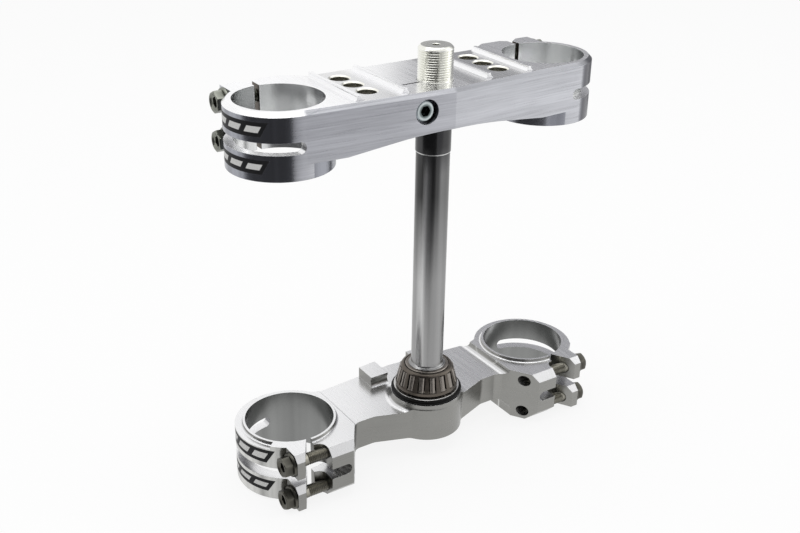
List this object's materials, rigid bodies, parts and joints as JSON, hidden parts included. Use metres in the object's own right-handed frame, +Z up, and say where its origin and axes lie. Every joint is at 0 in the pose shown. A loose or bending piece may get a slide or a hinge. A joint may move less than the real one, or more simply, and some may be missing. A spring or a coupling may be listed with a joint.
{
  "type": "motorcycle triple clamp",
  "caption": "Upper and lower fork clamps of a motorcycle on a threaded steering stem, with a tapered roller head bearing above the lower clamp.",
  "frame": {"origin": "on the steering axis, at the seat of the lower bearing's seal on top of the lower clamp's boss", "axes": "+Z up along the steering axis, +X along the clamps to the side away from the stem's pinch bolt, +Y forward to the fork tubes"},
  "size_m": [0.2674, 0.0872, 0.2797],
  "materials": {
    "clamp_aluminium": "machined satin",
    "stem_metal": "turned satin",
    "bearing_steel": "greased ground steel",
    "cage_steel": "pressed dark steel",
    "seal_rubber": "matt black",
    "upper_bolt_steel": "zinc plated",
    "lower_bolt_steel": "dark plated",
    "pinch_bolt_chrome": "bright"
  },
  "bodies": {
    "clamps": {"upper_clamp": "clamp_aluminium", "lower_clamp": "clamp_aluminium", "steering_stem": "stem_metal", "bearing_inner_race": "bearing_steel", "seal_carrier": "bearing_steel", "dust_seal": "seal_rubber", "upper_left_bottom_bolt": "upper_bolt_steel", "upper_left_top_bolt": "upper_bolt_steel", "upper_right_bottom_bolt": "upper_bolt_steel", "upper_right_top_bolt": "upper_bolt_steel", "lower_left_bottom_bolt": "lower_bolt_steel", "lower_left_top_bolt": "lower_bolt_steel", "lower_right_bottom_bolt": "lower_bolt_steel", "lower_right_top_bolt": "lower_bolt_steel", "stem_pinch_bolt": "pinch_bolt_chrome"},
    "cage_body": {"bearing_cage": "cage_steel", "bearing_roller_01": "bearing_steel", "bearing_roller_02": "bearing_steel", "bearing_roller_03": "bearing_steel", "bearing_roller_04": "bearing_steel", "bearing_roller_05": "bearing_steel", "bearing_roller_06": "bearing_steel", "bearing_roller_07": "bearing_steel", "bearing_roller_08": "bearing_steel", "bearing_roller_09": "bearing_steel", "bearing_roller_10": "bearing_steel", "bearing_roller_11": "bearing_steel", "bearing_roller_12": "bearing_steel", "bearing_roller_13": "bearing_steel", "bearing_roller_14": "bearing_steel", "bearing_roller_15": "bearing_steel", "bearing_roller_16": "bearing_steel"}
  },
  "joints": [
    {"name": "cage_spin", "type": "hinge", "parent": "clamps", "child": "cage_body", "pos_m": [0, 0, 0.0123], "axis": [0, 0, 1], "continuous": true}
  ]
}
